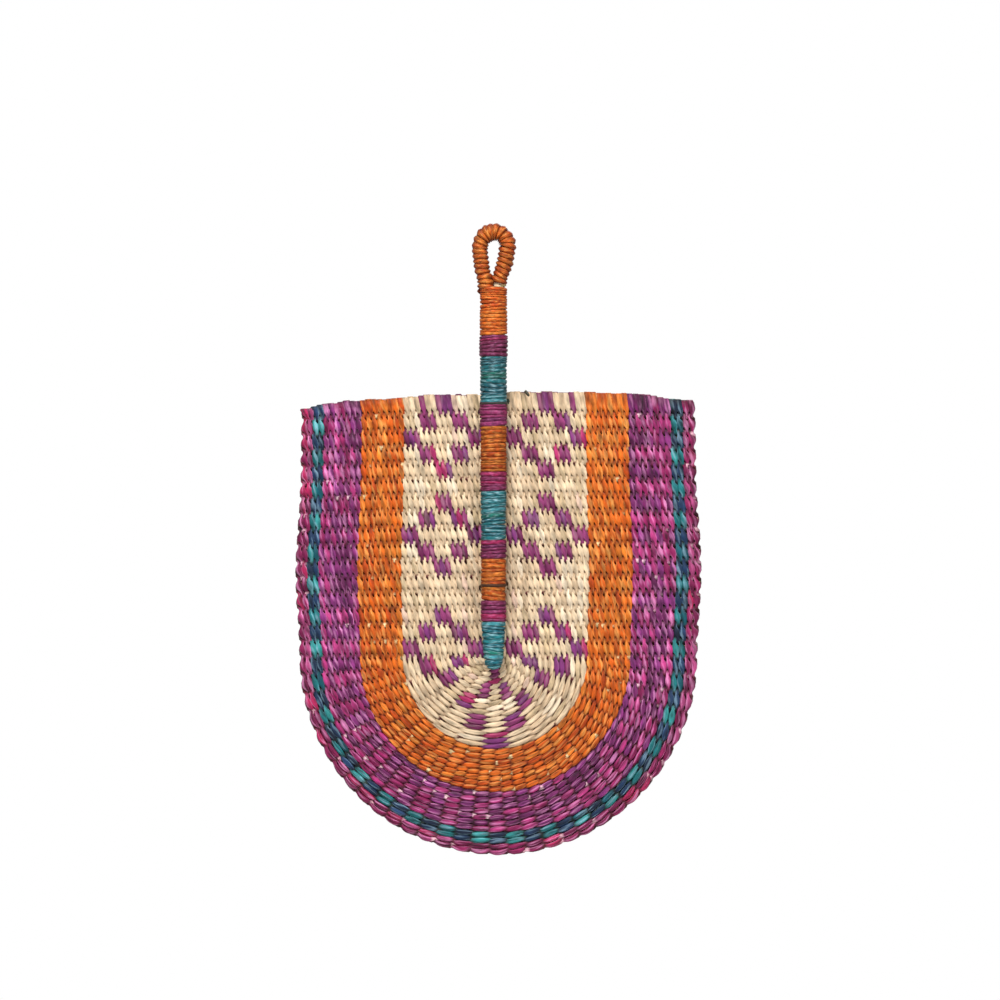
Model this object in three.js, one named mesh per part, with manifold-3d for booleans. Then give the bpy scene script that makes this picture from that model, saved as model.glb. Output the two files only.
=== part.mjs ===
// Reed wall fan: a U-shaped blade of dyed grass twined over grass spokes, and a wrapped handle that ends in a hanging
// eye. Millimetres, +Z up, the front faces -Y. The origin is the top of the eye's opening, where a nail would hold it.
import * as THREE from 'three';
import { mergeVertices } from 'three/addons/utils/BufferGeometryUtils.js';
import Module from 'manifold-3d';

const wasm = await Module();
wasm.setup();

// Fits shared by all the pieces
const clearance = 0.3; // air between two pieces that touch in the real fan
const turnGap = 0.55; // air between one turn of a wrapping and the next
const tieGap = 0.35; // air round a tie where it goes through the weave

// The handle, measured down from its top just under the eye
const collarHalfWidth = 8.9; // outside of the wrapping, over the collar and the first purple band
const gripHalfWidth = 8.5; // outside of the wrapping, below the collar
const tipHalfWidth = 7.3; // outside of the wrapping, at the top of the last band
const tipEndHalfWidth = 4.6; // outside of the wrapping, at the very tip
const collarStep = 8; // height over which the collar's width comes down to the grip's
const gripFlatness = 0.76; // depth of the handle over its width
const wrapThickness = 1.4;
const handleSides = 10; // steps of one turn, and sides of the bundle inside it
const wrapCrest = 0.6; // width of a turn at its crest over its width at its foot
const coreInset = 1.2; // the bundle stops this far above the end of the last wrapping
const gripBands = [
  { name: 'collar_wrap', colour: 'orange', height: 31.1, loops: 11 },
  { name: 'grip_wrap_01_purple', colour: 'purple', height: 13.3, loops: 4 },
  { name: 'grip_wrap_02_teal', colour: 'teal', height: 29.8, loops: 8 },
  { name: 'grip_wrap_03_purple', colour: 'purple', height: 14.3, loops: 3 },
  { name: 'grip_wrap_04_orange', colour: 'orange', height: 28.8, loops: 8 },
  { name: 'grip_wrap_05_purple', colour: 'purple', height: 12.1, loops: 3 },
  { name: 'grip_wrap_06_teal', colour: 'teal', height: 31.1, loops: 8 },
  { name: 'grip_wrap_07_purple', colour: 'purple', height: 11.4, loops: 3 },
  { name: 'grip_wrap_08_orange', colour: 'orange', height: 17.1, loops: 4 },
  { name: 'grip_wrap_09_orange', colour: 'orange', height: 9.8, loops: 2 }, // the lower tie parts it from the last
  { name: 'grip_wrap_10_purple', colour: 'purple', height: 13, loops: 3 },
  { name: 'grip_wrap_11_teal', colour: 'teal', height: 29.5, loops: 6 },
];
const collarBands = 2; // how many bands keep the collar's width

// The hanging eye
const eyeHeight = 34.3; // centre line of the loop, from the top of the handle to the crown
const eyeBaseHalf = 5.05; // from the middle to each leg of the eye at the handle
const eyeBellyHalf = 9.3; // from the middle to the loop where it is widest
const eyeSweep = [ // from the legs to the shoulder: share of the belly's width, share of the height
  [0.63, 0.21],
  [0.85, 0.4],
  [1, 0.585],
  [0.93, 0.8],
  [0.6, 0.945],
];
const eyeUpright = 0.07; // share of the height over which the legs stand upright
const eyeCoreRadius = 3;
const eyeCoreSides = 8;
const eyeCoreSteps = 30;
const eyeWrapRadius = 5.5; // outside of the wrapping round the loop
const eyeBaseWrapRadius = 4.65; // outside of the wrapping where the legs press together
const eyeSwellShare = 0.22; // share of the loop's length over which the wrapping thickens
const eyeLoops = 21;
const eyeTurnGap = 0.6; // air between turns of the eye's wrapping, which crowd inside the loop
const legRadius = 2.2; // the eye's legs where they are pushed down into the handle
const legLength = 24;
const legSpread = 4.1; // from the middle to the foot of each leg
const legRoot = 2; // how far up inside the loop each leg starts
const legSides = 12;

// The blade: rows of spokes behind the handle, then a half round about the end of the handle
const handleAboveBlade = 69.7; // from the top of the handle down to the blade's top edge at the middle
const rowCount = 16;
const rowPitch = 10.3;
const weaveOffset = 1; // the weave's middle, to the right of the handle's
const rimLean = 2.2; // the outer bands lie this much further to the right
const leftDrop = 5; // how far the rows fall away at the left edge, at the top
const rightDrop = 2.5;
const creamReach = 58.4; // from the middle to the outside of the natural grass
const orangeWidth = 27.2;
const purpleWidth = 25.6;
const tealWidth = 7.4;
const rimWidth = 6.4;
const waistSwell = 1; // width of the blade over its nominal width, at the round
const bellySwell = 1.02; // a third of the way up
const shoulderSwell = 0.992; // three quarters of the way up
const topSwell = 0.988;
const lobeDepth = 1; // how far each turn of the rim strand stands out past the rim
const weftThickness = 1.5; // one layer of weft, in front of the spokes or behind them
const roundSectors = 33; // stitches of the rim in the half round

// The spokes
const spokeWidth = 4.4;
const spokeThickness = 2.2;
const branchWidth = 3.2; // a spoke's branches in the outer bands
const spokeInset = 0.4; // the cut ends stop this far inside the crests of the rim
const radialSpokes = 11; // an odd count, so that one runs straight down from the handle's tip
const radialStart = 6; // from the middle of the round to the point of each radial spoke
const pointWidth = 1;
const trioReach = 72; // from the middle to where a spoke's two branches become three
const splitRun = 5; // length over which a spoke divides

// The ties that bind the handle to the blade
const tieRadius = 0.95;
const ties = [
  { name: 'upper_tie', colour: 'teal', belowBand: 2, rowsFromTop: 1 },
  { name: 'lower_tie', colour: 'orange', belowBand: 8, rowsFromTop: 12 },
];
const tieEndGap = 1.6; // between the two ends of a tie, behind the blade
const tieCorner = 2.2; // how far from its corner a tie starts to turn
const tieOverAngles = [-90, -65, -40, -18]; // degrees round the handle where a tie lies on it
const tieSides = 6;
const tieSteps = 34;

// Values that follow from these
const handleTop = eyeWrapRadius - eyeHeight;
const bladeTop = handleTop - handleAboveBlade;
const handleLength = gripBands.reduce((sum, band) => sum + band.height, 0);
const collarLength = gripBands.slice(0, collarBands).reduce((sum, band) => sum + band.height, 0);
const lastBandTop = handleLength - gripBands[gripBands.length - 1].height;
const bladeFront = gripHalfWidth * gripFlatness + clearance;
const spokeFront = bladeFront + weftThickness + clearance;
const spokeBack = spokeFront + spokeThickness;
const backLayerFront = spokeBack + clearance;
const bladeBack = backLayerFront + weftThickness;
const bladeStraight = rowCount * rowPitch;
const roundZ = bladeTop - bladeStraight;
const orangeReach = creamReach + orangeWidth;
const purpleReach = orangeReach + purpleWidth;
const tealReach = purpleReach + tealWidth;
const rimReach = tealReach + rimWidth;
const sideWidth = rimReach * bellySwell;

// Dyed and natural grass
const grass = {
  cream: new THREE.MeshStandardMaterial({ color: 0xe9d9b0, roughness: 0.7, metalness: 0 }),
  orange: new THREE.MeshStandardMaterial({ color: 0xd9702a, roughness: 0.65, metalness: 0 }),
  purple: new THREE.MeshStandardMaterial({ color: 0x8a3f86, roughness: 0.65, metalness: 0 }),
  teal: new THREE.MeshStandardMaterial({ color: 0x2e8f8c, roughness: 0.65, metalness: 0 }),
  navy: new THREE.MeshStandardMaterial({ color: 0x1b5f75, roughness: 0.65, metalness: 0 }),
  magenta: new THREE.MeshStandardMaterial({ color: 0xb2377f, roughness: 0.65, metalness: 0 }),
  stem: new THREE.MeshStandardMaterial({ color: 0xcdb987, roughness: 0.75, metalness: 0 }),
};

const fan = new THREE.Group();

function addPiece(name, geometry, material) {
  const mesh = new THREE.Mesh(geometry, material);
  mesh.name = name;
  fan.add(mesh);
  return mesh;
}

// A flat piece cut to an outline in X and Z, standing between two depths
function addPlate(name, outline, front, back, material) {
  const mesh = addPiece(name, plateGeometry(outline, front, back), material);
  mesh.rotation.x = Math.PI / 2;
  mesh.position.y = back;
  return mesh;
}

function plateGeometry(outline, front, back) {
  return new THREE.ExtrudeGeometry(new THREE.Shape(outline), { depth: back - front, bevelEnabled: false });
}

// The same plate as a solid in place, to be joined or cut
function plateSolid(outline, front, back) {
  const geometry = plateGeometry(outline, front, back);
  geometry.rotateX(Math.PI / 2);
  geometry.translate(0, back, 0);
  return solidOf(geometry);
}

function solidOf(geometry) {
  const bare = geometry.clone();
  bare.deleteAttribute('normal');
  bare.deleteAttribute('uv');
  const merged = mergeVertices(bare, 1e-4);
  const vertProperties = new Float32Array(merged.attributes.position.array);
  const triVerts = new Uint32Array(merged.index.array);
  return new wasm.Manifold(new wasm.Mesh({ numProp: 3, vertProperties, triVerts }));
}

function geometryOf(solid) {
  const { vertProperties, triVerts } = solid.getMesh();
  const geometry = new THREE.BufferGeometry();
  geometry.setAttribute('position', new THREE.BufferAttribute(new Float32Array(vertProperties), 3));
  geometry.setIndex(new THREE.BufferAttribute(new Uint32Array(triVerts), 1));
  return geometry;
}

// A body through a row of like rings of points, closed at both ends
function ringsGeometry(rings) {
  const count = rings[0].length;
  const positions = rings.flat().flatMap((point) => [point.x, point.y, point.z]);
  const index = [];
  for (let i = 0; i + 1 < rings.length; i += 1) {
    for (let j = 0; j < count; j += 1) {
      const a = i * count + j;
      const b = i * count + ((j + 1) % count);
      index.push(a, b, b + count, a, b + count, a + count);
    }
  }
  const last = (rings.length - 1) * count;
  for (let j = 1; j + 1 < count; j += 1) {
    index.push(0, j + 1, j);
    index.push(last, last + j, last + j + 1);
  }
  const geometry = new THREE.BufferGeometry();
  geometry.setAttribute('position', new THREE.Float32BufferAttribute(positions, 3));
  geometry.setIndex(index);
  return geometry;
}

// A round tube along a curve
function tubeGeometry(curve, radius, sides, steps) {
  const section = new THREE.Shape();
  for (let i = 0; i < sides; i += 1) {
    const angle = (i / sides) * Math.PI * 2;
    const x = radius * Math.cos(angle);
    const y = radius * Math.sin(angle);
    if (i === 0) section.moveTo(x, y);
    else section.lineTo(x, y);
  }
  return new THREE.ExtrudeGeometry(section, { steps, extrudePath: curve, bevelEnabled: false });
}

// The least distance between points of a wound strand that lie at least half a turn apart
function leastGap(rings, stepsPerTurn) {
  let least = Infinity;
  for (let i = 0; i < rings.length; i += 1) {
    for (let j = i + Math.ceil(stepsPerTurn / 2); j < rings.length; j += 1) {
      for (const a of rings[i]) {
        for (const b of rings[j]) {
          least = Math.min(least, a.distanceTo(b));
        }
      }
    }
  }
  return least;
}

// A value between the stations of a list of [place, value], smooth where ease is set
function between(stations, place, ease = false) {
  const last = stations.length - 1;
  if (place <= stations[0][0]) return stations[0][1];
  for (let i = 0; i < last; i += 1) {
    const [from, low] = stations[i];
    const [to, high] = stations[i + 1];
    if (place <= to) {
      const share = (place - from) / (to - from);
      return low + (high - low) * (ease ? share * share * (3 - 2 * share) : share);
    }
  }
  return stations[last][1];
}

// Handle bundle: an oval bundle of stems from under the eye to the middle of the round
const handleStations = [
  [0, collarHalfWidth],
  [collarLength, collarHalfWidth],
  [collarLength + collarStep, gripHalfWidth],
  [lastBandTop, tipHalfWidth],
  [handleLength, tipEndHalfWidth],
];

// Half width of the surface that lies a given depth under the outside of the wrapping
function handleHalf(down, depth) {
  return between(handleStations, down) - depth;
}

function handlePoint(down, angle, depth) {
  const half = between(handleStations, down);
  const x = (half - depth) * Math.cos(angle);
  const y = (half * gripFlatness - depth) * Math.sin(angle);
  return new THREE.Vector3(x, y, handleTop - down);
}

const coreDepth = wrapThickness + clearance;
const coreDowns = handleStations.map(([down]) => down).filter((down) => down > 0 && down < handleLength);
const coreRings = [clearance, ...coreDowns, handleLength - coreInset].map((down) => {
  const ring = [];
  for (let i = 0; i < handleSides; i += 1) {
    ring.push(handlePoint(down, (-i / handleSides) * Math.PI * 2, coreDepth));
  }
  return ring;
});

// Each leg of the eye leans in a little as it goes down
const wholeLeg = legLength + legRoot;
const legTopZ = handleTop + legRoot;
const legAxis = new THREE.Vector3(legSpread - eyeBaseHalf, 0, -wholeLeg).normalize();

function legSolid(side, radius, length) {
  const geometry = new THREE.CylinderGeometry(radius, radius, length, legSides);
  const down = new THREE.Vector3(legAxis.x * side, 0, legAxis.z);
  const turn = new THREE.Quaternion().setFromUnitVectors(new THREE.Vector3(0, -1, 0), down);
  geometry.applyQuaternion(turn);
  const middle = new THREE.Vector3(eyeBaseHalf * side, 0, legTopZ).addScaledVector(down, length / 2);
  geometry.translate(middle.x, middle.y, middle.z);
  return solidOf(geometry);
}

let handleSolid = solidOf(ringsGeometry(coreRings));
for (const side of [-1, 1]) {
  handleSolid = handleSolid.subtract(legSolid(side, legRadius + clearance, wholeLeg + clearance));
}
addPiece('handle_core', geometryOf(handleSolid), grass.stem);

// Hanging eye: a second bundle bent double, its two legs pushed down into the top of the handle
const eyeHalf = [
  [eyeBaseHalf, handleTop],
  [eyeBaseHalf, handleTop + eyeHeight * eyeUpright],
  ...eyeSweep.map(([width, height]) => [eyeBellyHalf * width, handleTop + eyeHeight * height]),
];
const eyePoints = [
  ...eyeHalf.map(([x, z]) => new THREE.Vector3(-x, 0, z)),
  new THREE.Vector3(0, 0, handleTop + eyeHeight),
  ...eyeHalf.map(([x, z]) => new THREE.Vector3(x, 0, z)).reverse(),
];
const eyeCurve = new THREE.CatmullRomCurve3(eyePoints);
let eyeSolid = solidOf(tubeGeometry(eyeCurve, eyeCoreRadius, eyeCoreSides, eyeCoreSteps));
for (const side of [-1, 1]) {
  eyeSolid = eyeSolid.add(legSolid(side, legRadius, wholeLeg));
}
addPiece('eye_core', geometryOf(eyeSolid), grass.stem);

// Eye wrapping: one orange strand wound from the foot of one leg over the crown to the foot of the other
const eyeSteps = 10;
const eyeLength = eyeCurve.getLength();
const eyePitch = eyeLength / (eyeLoops + 1);

function eyeFrame(share) {
  const place = eyeCurve.getPointAt(share);
  const tangent = eyeCurve.getTangentAt(share);
  const outward = new THREE.Vector3(-tangent.z, 0, tangent.x);
  return { place, tangent, outward };
}

// How sharply the eye turns at a place, positive where its middle is on the inside of the bend
function eyeBend(share) {
  const reach = 0.02;
  const before = eyeCurve.getTangentAt(Math.max(0, share - reach));
  const after = eyeCurve.getTangentAt(Math.min(1, share + reach));
  const turned = Math.atan2(before.z * after.x - before.x * after.z, before.dot(after));
  return turned / (2 * reach * eyeLength);
}

function eyeRing(share, angle, slide) {
  const { place, tangent, outward } = eyeFrame(share);
  const direction = outward.clone().multiplyScalar(Math.cos(angle));
  direction.y = Math.sin(angle);
  const along = outward.clone().multiplyScalar(-Math.sin(angle));
  along.y = Math.cos(angle);
  const swell = [[0, eyeBaseWrapRadius], [eyeSwellShare, eyeWrapRadius]];
  const crest = between(swell, Math.min(share, 1 - share), true);
  const foot = (eyeCoreRadius + clearance) / Math.cos(Math.PI / eyeSteps);
  const bend = eyeBend(share);
  const corners = [
    [foot, -1],
    [crest, -wrapCrest],
    [crest, wrapCrest],
    [foot, 1],
  ];
  return corners.map(([radius, edge]) => {
    const room = eyePitch * (1 + radius * Math.cos(angle) * bend) - eyeTurnGap;
    return place.clone()
      .addScaledVector(direction, radius)
      .addScaledVector(along, slide)
      .addScaledVector(tangent, (edge * room) / 2);
  });
}

const eyeWidth = eyePitch - eyeTurnGap;
const eyeRings = [];
for (let i = 0; i <= eyeLoops * eyeSteps; i += 1) {
  const share = (0.5 + i / eyeSteps) / (eyeLoops + 1);
  eyeRings.push(eyeRing(share, (i / eyeSteps) * Math.PI * 2, 0));
}
const eyeFirst = 0.5 / (eyeLoops + 1);
eyeRings.unshift(eyeRing(eyeFirst, 0, -eyeWidth));
eyeRings.push(eyeRing(1 - eyeFirst, 0, eyeWidth));
console.log(`eye_wrap least gap ${leastGap(eyeRings, eyeSteps).toFixed(2)} mm`);
addPiece('eye_wrap', ringsGeometry(eyeRings), grass.orange);

// Handle wrappings: each colour is one flat strand wound round the bundle, with its ends tucked at the back left
const tuckAngle = (4 / handleSides) * Math.PI * 2;

function gripRing(down, angle, width, slide) {
  const under = handlePoint(down, angle, wrapThickness);
  const over = handlePoint(down, angle, 0);
  const along = handlePoint(down, angle + 0.01, 0).sub(handlePoint(down, angle - 0.01, 0)).normalize();
  under.addScaledVector(along, slide);
  over.addScaledVector(along, slide);
  const half = new THREE.Vector3(0, 0, width / 2);
  return [
    under.clone().add(half),
    over.clone().addScaledVector(half, wrapCrest),
    over.clone().addScaledVector(half, -wrapCrest),
    under.clone().sub(half),
  ];
}

const tieSlot = 2 * (tieRadius + clearance) - turnGap;
let bandTop = 0;
gripBands.forEach((band, number) => {
  const top = bandTop + (ties.some((tie) => tie.belowBand === number - 1) ? tieSlot / 2 : 0);
  const bottom = bandTop + band.height - (ties.some((tie) => tie.belowBand === number) ? tieSlot / 2 : 0);
  const pitch = (bottom - top) / (band.loops + 1);
  const width = pitch - turnGap;
  const rings = [];
  for (let i = 0; i <= band.loops * handleSides; i += 1) {
    const down = top + (0.5 + i / handleSides) * pitch;
    rings.push(gripRing(down, tuckAngle + (i / handleSides) * Math.PI * 2, width, 0));
  }
  rings.unshift(gripRing(top + pitch / 2, tuckAngle, width, -width));
  rings.push(gripRing(bottom - pitch / 2, tuckAngle, width, width));
  console.log(`${band.name} least gap ${leastGap(rings, handleSides).toFixed(2)} mm`);
  addPiece(band.name, ringsGeometry(rings), grass[band.colour]);
  bandTop += band.height;
});

// Places on the blade: a course of weft keeps one reach from the middle, down one side, round and up the other
function leanAt(reach) {
  return between([[orangeReach, 0], [rimReach, rimLean]], reach);
}

function swellAt(rise) {
  const stations = [[0, waistSwell], [1 / 3, bellySwell], [3 / 4, shoulderSwell], [1, topSwell]];
  return between(stations, rise, true);
}

// Height of a row of spokes, which falls away towards the edges
function rowZ(rise, across) {
  const share = across / sideWidth;
  const drop = (across < 0 ? leftDrop : rightDrop) * share * share;
  return roundZ + rise * (bladeStraight - drop);
}

function sidePlace(side, reach, rise) {
  const across = side * reach * swellAt(rise);
  return new THREE.Vector2(weaveOffset + leanAt(reach) + across, rowZ(rise, across));
}

function roundPlace(reach, angle) {
  const x = weaveOffset + leanAt(reach) + reach * Math.sin(angle) * waistSwell;
  return new THREE.Vector2(x, roundZ - reach * Math.cos(angle));
}

// One course from the top left round to the top right, with lobes of the given depth at each stitch
function course(reach, lobe = 0) {
  const cuts = lobe > 0 ? 3 : 1;
  const strideRows = lobe > 0 ? 1 : 2;
  const points = [];
  const stitches = rowCount / strideRows;
  const crest = (i) => lobe * Math.sin(((i % cuts) / cuts) * Math.PI);
  for (let i = 0; i < stitches * cuts; i += 1) {
    points.push(sidePlace(-1, reach + crest(i), 1 - i / (stitches * cuts)));
  }
  for (let i = 0; i < roundSectors * cuts; i += 1) {
    points.push(roundPlace(reach + crest(i), (i / (roundSectors * cuts) - 0.5) * Math.PI));
  }
  for (let i = 0; i <= stitches * cuts; i += 1) {
    points.push(sidePlace(1, reach + crest(i), i / (stitches * cuts)));
  }
  return points;
}

// Weft: the front and the back of each colour, on either side of the spokes
const bands = [
  { name: 'orange', inner: creamReach, outer: orangeReach, lobe: 0, material: grass.orange },
  { name: 'purple', inner: orangeReach, outer: purpleReach, lobe: 0, material: grass.purple },
  { name: 'teal', inner: purpleReach, outer: tealReach, lobe: 0, material: grass.navy },
  { name: 'rim', inner: tealReach, outer: rimReach, lobe: lobeDepth, material: grass.magenta },
];
const layers = [
  { name: 'front', front: bladeFront, back: bladeFront + weftThickness },
  { name: 'back', front: backLayerFront, back: bladeBack },
];
for (const layer of layers) {
  for (const band of bands) {
    const outside = course(band.outer - (band.lobe > 0 ? 0 : clearance / 2), band.lobe);
    const inside = course(band.inner + clearance / 2).reverse();
    addPlate(`${band.name}_weft_${layer.name}`, [...outside, ...inside], layer.front, layer.back, band.material);
  }
}

// Ties: a strand over the handle, through the weave on both sides of it and back across the rear in a slot
function tieCurve(tie) {
  const downs = gripBands.slice(0, tie.belowBand + 1).reduce((sum, band) => sum + band.height, 0);
  const handleZ = handleTop - downs;
  const bladeZ = bladeTop - tie.rowsFromTop * rowPitch;
  const side = gripHalfWidth + clearance + tieRadius;
  const rear = bladeBack - tieRadius - clearance / 3;
  const depth = wrapThickness - tieRadius;
  const right = tieOverAngles.map((degrees) => handlePoint(downs, THREE.MathUtils.degToRad(degrees), depth));
  right.push(new THREE.Vector3(side, bladeFront / 2, (handleZ + bladeZ) / 2));
  right.push(new THREE.Vector3(side, bladeFront, bladeZ));
  right.push(new THREE.Vector3(side, rear - tieCorner, bladeZ));
  right.push(new THREE.Vector3(side - tieCorner / 4, rear - tieCorner / 4, bladeZ));
  right.push(new THREE.Vector3(side - tieCorner, rear, bladeZ));
  right.push(new THREE.Vector3(tieEndGap / 2, rear, bladeZ));
  const left = right.slice(1).map((point) => new THREE.Vector3(-point.x, point.y, point.z));
  return new THREE.CatmullRomCurve3([...left.reverse(), ...right]);
}

// Natural grass in the middle of the blade, cut where the ties go through it
const topEdge = [];
for (let i = 1; i < 8; i += 1) {
  const across = creamReach * (1 - i / 4);
  topEdge.push(new THREE.Vector2(weaveOffset + across * topSwell, rowZ(1, across * topSwell)));
}
const creamOutline = [...course(creamReach - clearance / 2), ...topEdge];
for (const layer of layers) {
  let plate = plateSolid(creamOutline, layer.front, layer.back);
  for (const tie of ties) {
    plate = plate.subtract(solidOf(tubeGeometry(tieCurve(tie), tieRadius + tieGap, tieSides, tieSteps)));
  }
  addPiece(`cream_weft_${layer.name}`, geometryOf(plate), grass.cream);
}
ties.forEach((tie) => {
  addPiece(tie.name, tubeGeometry(tieCurve(tie), tieRadius, tieSides, tieSteps), grass[tie.colour]);
});

// Cross spokes: bundles of stems that run from edge to edge behind the handle
function addCrossSpoke(row) {
  const rise = 1 - (row + 0.5) / rowCount;
  const end = (rimReach + lobeDepth - spokeInset) * swellAt(rise);
  const upper = [];
  const lower = [];
  const stations = 8;
  for (let i = 0; i <= stations; i += 1) {
    const across = end * ((2 * i) / stations - 1);
    const lean = leanAt(Math.abs(across));
    const z = rowZ(rise, across);
    lower.push(new THREE.Vector2(weaveOffset + lean + across, z - spokeWidth / 2));
    upper.push(new THREE.Vector2(weaveOffset + lean + across, z + spokeWidth / 2));
  }
  const name = `cross_spoke_${String(row + 1).padStart(2, '0')}`;
  addPlate(name, [...lower, ...upper.reverse()], spokeFront, spokeBack, grass.stem);
}
for (let row = 0; row < rowCount; row += 1) {
  addCrossSpoke(row);
}

// Radial spokes: bundles that fan out round the end of the handle and divide in two, then in three
const sector = Math.PI / radialSpokes;

function addRadialSpoke(number) {
  const middle = (number + 0.5) * sector - Math.PI / 2;
  const end = rimReach + lobeDepth - spokeInset;
  const half = branchWidth / 2;
  const edge = (reach, offset, width) => {
    const angle = middle + offset * sector;
    const place = roundPlace(reach, angle);
    return place.add(new THREE.Vector2(Math.cos(angle), Math.sin(angle)).multiplyScalar(width));
  };
  const stemEnd = creamReach - splitRun;
  const pairEnd = trioReach - splitRun / 2;
  const trioStart = trioReach + splitRun;
  const wide = spokeWidth / 2;
  const full = spokeWidth / sector + radialStart;
  const outline = [
    edge(radialStart, 0, -pointWidth / 2),
    edge(full, 0, -wide),
    edge(stemEnd, 0, -wide),
    edge(creamReach, -1 / 4, -half),
    edge(pairEnd, -1 / 4, -half),
    edge(trioStart, -1 / 3, -half),
    edge(end, -1 / 3, -half),
    edge(end, -1 / 3, half),
    edge(trioStart, -1 / 3, half),
    edge(pairEnd, -1 / 4, half),
    edge(creamReach + splitRun / 2, -1 / 4, half),
    edge(stemEnd + splitRun / 2, 0, 0),
    edge(creamReach + splitRun / 2, 1 / 4, -half),
    edge(pairEnd, 1 / 4, -half),
    edge(trioStart, 0, -half),
    edge(end, 0, -half),
    edge(end, 0, half),
    edge(trioStart + splitRun / 2, 0, half),
    edge(trioStart - splitRun / 2, 1 / 6, 0),
    edge(trioStart + splitRun / 2, 1 / 3, -half),
    edge(end, 1 / 3, -half),
    edge(end, 1 / 3, half),
    edge(trioStart, 1 / 3, half),
    edge(pairEnd, 1 / 4, half),
    edge(creamReach, 1 / 4, half),
    edge(stemEnd, 0, wide),
    edge(full, 0, wide),
    edge(radialStart, 0, pointWidth / 2),
  ];
  const name = `radial_spoke_${String(number + 1).padStart(2, '0')}`;
  addPlate(name, outline, spokeFront, spokeBack, grass.stem);
}
for (let number = 0; number < radialSpokes; number += 1) {
  addRadialSpoke(number);
}

export default fan;
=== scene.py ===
# Reed wall fan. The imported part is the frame: each piece below lies on it, or takes the place of
# one of its nodes.
import math
import random
import bpy
import numpy as np
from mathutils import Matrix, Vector


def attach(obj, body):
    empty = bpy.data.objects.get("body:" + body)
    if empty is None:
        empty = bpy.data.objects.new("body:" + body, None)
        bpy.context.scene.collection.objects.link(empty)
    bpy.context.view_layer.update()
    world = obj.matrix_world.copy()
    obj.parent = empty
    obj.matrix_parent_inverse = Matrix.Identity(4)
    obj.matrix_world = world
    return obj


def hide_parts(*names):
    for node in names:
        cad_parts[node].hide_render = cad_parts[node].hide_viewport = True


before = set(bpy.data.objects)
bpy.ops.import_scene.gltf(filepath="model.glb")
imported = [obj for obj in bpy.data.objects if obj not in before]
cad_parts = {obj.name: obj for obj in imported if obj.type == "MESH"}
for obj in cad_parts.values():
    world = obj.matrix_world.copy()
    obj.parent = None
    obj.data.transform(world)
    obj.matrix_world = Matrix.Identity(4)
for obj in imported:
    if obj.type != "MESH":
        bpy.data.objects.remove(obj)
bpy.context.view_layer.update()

bpy.ops.object.select_all(action="DESELECT")
scene = bpy.context.scene


# Handle bundle: dry undyed stems laid side by side, from under the eye to the middle of the round.
# The wrappings hide it but for its two ends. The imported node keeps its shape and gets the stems' finish.
class Value:
    """A socket of a material, whose sums and products become Math nodes."""

    def __init__(self, tree, socket=None):
        self.tree = tree
        self.socket = socket

    def node(self, kind, settings=None, sockets=None, output=0):
        """Adds a node with its settings, fills its sockets with values or links, and gives an output."""
        made = self.tree.nodes.new(kind)
        for name, setting in (settings or {}).items():
            if name == "stops":
                while len(made.color_ramp.elements) < len(setting):
                    made.color_ramp.elements.new(0.5)
                for element, (position, colour) in zip(made.color_ramp.elements, setting):
                    element.position = position
                    element.color = colour
            else:
                setattr(made, name, setting)
        for name, given in (sockets or {}).items():
            if isinstance(given, Value):
                self.tree.links.new(given.socket, made.inputs[name])
            else:
                made.inputs[name].default_value = given
        return None if output is None else Value(self.tree, made.outputs[output])

    def maths(self, operation, *given):
        return self.node("ShaderNodeMath", {"operation": operation}, dict(enumerate(given)))

    def __add__(self, other):
        return self.maths("ADD", self, other)

    def __sub__(self, other):
        return self.maths("SUBTRACT", self, other)

    def __rsub__(self, other):
        return self.maths("SUBTRACT", other, self)

    def __mul__(self, other):
        return self.maths("MULTIPLY", self, other)

    __radd__ = __add__
    __rmul__ = __mul__

    def scaled(self, amount):
        """A colour or a vector times a number."""
        return self.node("ShaderNodeVectorMath", {"operation": "SCALE"}, {0: self, "Scale": amount})

    def mixed(self, colour, share, blend="MIX"):
        """This colour with a share of another one, or blended with it in another way."""
        settings = {"data_type": "RGBA", "blend_type": blend}
        return self.node("ShaderNodeMix", settings, {0: share, 6: self, 7: colour}, output=2)


def linear(red, green, blue):
    """A colour given as it looks on a screen, 0 to 255, for a material."""
    values = [part / 255 for part in (red, green, blue)]
    return [part / 12.92 if part < 0.04045 else ((part + 0.055) / 1.055) ** 2.4 for part in values]


def finish_with(start, colour, roughness, relief, depth):
    """Closes a material: a colour, a roughness and a relief of some depth in the shader."""
    bump = {"Strength": 0.6, "Distance": depth, "Height": relief}
    faint_sheen = 0.25
    sockets = {"Base Color": colour, "Roughness": roughness, "Specular IOR Level": faint_sheen}
    sockets["Normal"] = start.node("ShaderNodeBump", None, bump)
    shader = start.node("ShaderNodeBsdfPrincipled", None, sockets)
    start.node("ShaderNodeOutputMaterial", None, {"Surface": shader}, output=None)


def new_finish(name):
    material = bpy.data.materials.new(name)
    material.use_nodes = True
    material.node_tree.nodes.clear()
    return material, Value(material.node_tree)


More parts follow.
